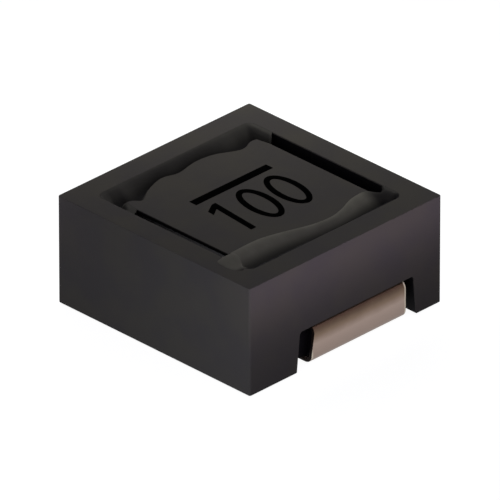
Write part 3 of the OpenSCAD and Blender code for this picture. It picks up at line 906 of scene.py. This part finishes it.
class INDUCTOR_OT_resin(bpy.types.Operator):
    """Pour the resin along the front and rear gaps and into the left one"""
    bl_idname = "inductor.resin"
    bl_label = "Resin"

    def execute(self, context):
        sizes, colours = context.scene.inductor_sizes, context.scene.inductor_colours
        # The front bead and the smear take a painted highlight on the crest and painted shade where they roll down;
        # the rear bead and the left film take painted shade in their hollows.
        crest = resin_material(colours, "front_epoxy", front_highlight_mask, tinted(colours.crest))
        slope = resin_material(colours, "rear_epoxy", rear_shade_mask)
        film = resin_material(colours, "film_epoxy", left_film_shade_mask)
        smear = resin_material(colours, "smear_epoxy", front_highlight_mask, tinted(colours.crest, SMEAR_SHADE))
        front_ends = (((0, 1), sizes.front_left_bite), ((0.15, 0.8), sizes.front_right_bite))
        rear_ends = ((None, sizes.rear_left_bite), ((0.2, 0.65), 0))
        front = bead_mesh("resin_front", sizes, sizes.front_deepest, 1, front_ends)
        rear = bead_mesh("resin_rear", sizes, sizes.rear_deepest, 0, rear_ends)
        finish_piece("resin_front_finish", front, crest, "resin", "resin_front")
        finish_piece("resin_rear_finish", rear, slope, "resin", "resin_rear")
        finish_piece("resin_left_finish", film_mesh("resin_left"), film, "resin", "resin_left")
        finish_piece("resin_smear", smear_mesh(sizes), smear, "resin")
        return {"FINISHED"}


class INDUCTOR_OT_marking(bpy.types.Operator):
    """Print the plain digits and the bar on the drum"""
    bl_idname = "inductor.marking"
    bl_label = "Marking"

    def execute(self, context):
        mesh = marking_mesh(context.scene.inductor_sizes)
        finish_piece("marking", mesh, ink_material(context.scene.inductor_colours), "resin")
        return {"FINISHED"}


class INDUCTOR_OT_stage(bpy.types.Operator):
    """Set the floor, the lamps, the world and the camera"""
    bl_idname = "inductor.stage"
    bl_label = "Stage"

    def execute(self, context):
        lay_floor(context.scene.inductor_colours)
        light_world()
        hang_lamps()
        place_camera()
        return {"FINISHED"}


# ---------------------------------------------------------------- stage

BACKGROUND_RAYS = ("Is Camera Ray", "Is Glossy Ray", "Is Transmission Ray")


def lay_floor(colours):
    """A pale floor that shows white and keeps a soft shadow."""
    half, pale, glow_strength, glow_share = 1.5, 0.95, 1.18, 0.8
    points = [(-half, -half, 0), (half, -half, 0), (half, half, 0), (-half, half, 0)]
    mesh = mesh_from("floor", points, [(0, 1, 2, 3)])
    floor = bpy.data.objects.new("floor", mesh)
    bpy.context.scene.collection.objects.link(floor)
    s = Shader("studio_floor", Roughness=0.9, Specular_IOR_Level=0.0)
    path = s.add("ShaderNodeLightPath", {}, {}, whole=True)
    rays = [Value(s, path.outputs[kind]) for kind in BACKGROUND_RAYS]
    seen = (rays[0] + rays[1] + rays[2]).clamped()
    s.set(Base_Color=s.mix(seen, tinted(colours.floor), (pale, pale, pale, 1)))
    glow = s.add("ShaderNodeEmission", {}, {"Color": (1, 1, 1, 1), "Strength": glow_strength}, whole=True)
    blend = s.add("ShaderNodeMixShader", {}, {"Fac": seen * glow_share}, whole=True)
    output = next(n for n in s.tree.nodes if n.type == "OUTPUT_MATERIAL")
    s.tree.links.new(s.surface.outputs["BSDF"], blend.inputs[1])
    s.tree.links.new(glow.outputs["Emission"], blend.inputs[2])
    s.tree.links.new(blend.outputs["Shader"], output.inputs["Surface"])
    mesh.materials.append(s.material)


def light_world():
    """A sky that shows white and sends a dimmer light to the object."""
    world = bpy.data.worlds.new("studio")
    bpy.context.scene.world = world
    world.use_nodes = True
    tree = world.node_tree
    tree.nodes.clear()
    path = tree.nodes.new("ShaderNodeLightPath")
    seen = path.outputs[BACKGROUND_RAYS[0]]
    for kind in BACKGROUND_RAYS[1:]:
        either = tree.nodes.new("ShaderNodeMath")
        either.operation = "MAXIMUM"
        tree.links.new(seen, either.inputs[0])
        tree.links.new(path.outputs[kind], either.inputs[1])
        seen = either.outputs[0]
    sky = tree.nodes.new("ShaderNodeMix")
    sky.data_type = "RGBA"
    sky.inputs[6].default_value = (0.268, 0.268, 0.3, 1)
    sky.inputs[7].default_value = (1, 1, 1, 1)
    tree.links.new(seen, sky.inputs[0])
    background = tree.nodes.new("ShaderNodeBackground")
    tree.links.new(sky.outputs[2], background.inputs["Color"])
    output = tree.nodes.new("ShaderNodeOutputWorld")
    tree.links.new(background.outputs["Background"], output.inputs["Surface"])


def hang_lamp(name, place, aim, size, level, tint=(1, 1, 1), spread=180):
    """An area lamp, sized and placed in millimetres, that lights its aim at a share of the plain level."""
    place, aim = Vector(place) * MM, Vector(aim) * MM
    data = bpy.data.lights.new(name, "AREA")
    data.shape = "RECTANGLE"
    data.size, data.size_y = (side * MM for side in size)
    data.energy = level * math.pi ** 2 * (aim - place).length_squared
    data.color = tint
    data.spread = math.radians(spread)
    lamp = bpy.data.objects.new(name, data)
    bpy.context.scene.collection.objects.link(lamp)
    lamp.location = place
    lamp.rotation_euler = (aim - place).to_track_quat("-Z", "Y").to_euler()
    lamp.visible_camera = False


def hang_lamps():
    """A bar over the rear right corner, a strip close to the front and rear walls, and two panels further off."""
    hang_lamp("overhead", (5, 5, 10), (4.5, 4.5, 3.2), (14, 1.5), 1.28, (0.97, 0.99, 0.89))
    for hand, side in ((-1, "front"), (1, "rear")):
        hang_lamp(side + "_strip", (0, 5.2 * hand, 3.1), (0, 3.5 * hand, 3.3), (11, 0.5), 4.2,
                  (0.93, 0.8, 1.0))
    for hand, side in ((-1, "left"), (1, "right")):
        hang_lamp(side + "_panel", (14 * hand, 6 * hand, 2), (3.5 * hand, hand, 1.6), (6, 4), 0.47,
                  (0.82, 0.9, 1.0))


def place_camera():
    """A long lens from the front left, a little above the object."""
    azimuth, elevation = math.radians(-45.11), math.radians(29.3)
    distance, scale, picture_width = 0.4248, 38.696 / MM, 500
    aim_across, aim_height = 0.011, 1.582
    data = bpy.data.cameras.new("camera")
    data.sensor_width = 36
    data.lens = distance * scale * data.sensor_width / picture_width
    data.clip_start = 0.01
    data.clip_end = 10
    camera = bpy.data.objects.new("camera", data)
    bpy.context.scene.collection.objects.link(camera)
    across = Vector((math.cos(azimuth), math.sin(azimuth), 0))
    target = across * aim_across * MM + Vector((0, 0, aim_height * MM))
    away = Vector((math.sin(azimuth) * math.cos(elevation), -math.cos(azimuth) * math.cos(elevation),
                   math.sin(elevation)))
    camera.location = target + away * distance
    camera.rotation_euler = (-away).to_track_quat("-Z", "Y").to_euler()
    bpy.context.scene.camera = camera


PIECES = (INDUCTOR_OT_cores, INDUCTOR_OT_base, INDUCTOR_OT_terminals, INDUCTOR_OT_winding, INDUCTOR_OT_resin,
          INDUCTOR_OT_marking, INDUCTOR_OT_stage)


class INDUCTOR_PT_panel(bpy.types.Panel):
    """The inductor's sizes, colours and pieces"""
    bl_idname = "INDUCTOR_PT_panel"
    bl_label = "Inductor"
    bl_space_type = "VIEW_3D"
    bl_region_type = "UI"
    bl_category = "Inductor"

    def draw(self, context):
        for group in (context.scene.inductor_sizes, context.scene.inductor_colours):
            box = self.layout.box()
            for name in group.__annotations__:
                box.prop(group, name)
        for piece in PIECES:
            self.layout.operator(piece.bl_idname)


CLASSES = (InductorSizes, InductorColours, *PIECES, INDUCTOR_PT_panel)


def register():
    for cls in CLASSES:
        bpy.utils.register_class(cls)
    bpy.types.Scene.inductor_sizes = bpy.props.PointerProperty(type=InductorSizes)
    bpy.types.Scene.inductor_colours = bpy.props.PointerProperty(type=InductorColours)


def unregister():
    del bpy.types.Scene.inductor_sizes
    del bpy.types.Scene.inductor_colours
    for cls in reversed(CLASSES):
        bpy.utils.unregister_class(cls)


def main():
    register()
    bpy.context.scene.view_settings.view_transform = "Standard"
    bpy.ops.inductor.cores()
    bpy.ops.inductor.base()
    bpy.ops.inductor.terminals()
    bpy.ops.inductor.winding()
    bpy.ops.inductor.resin()
    bpy.ops.inductor.marking()
    bpy.ops.inductor.stage()


if __name__ == "__main__":
    main()
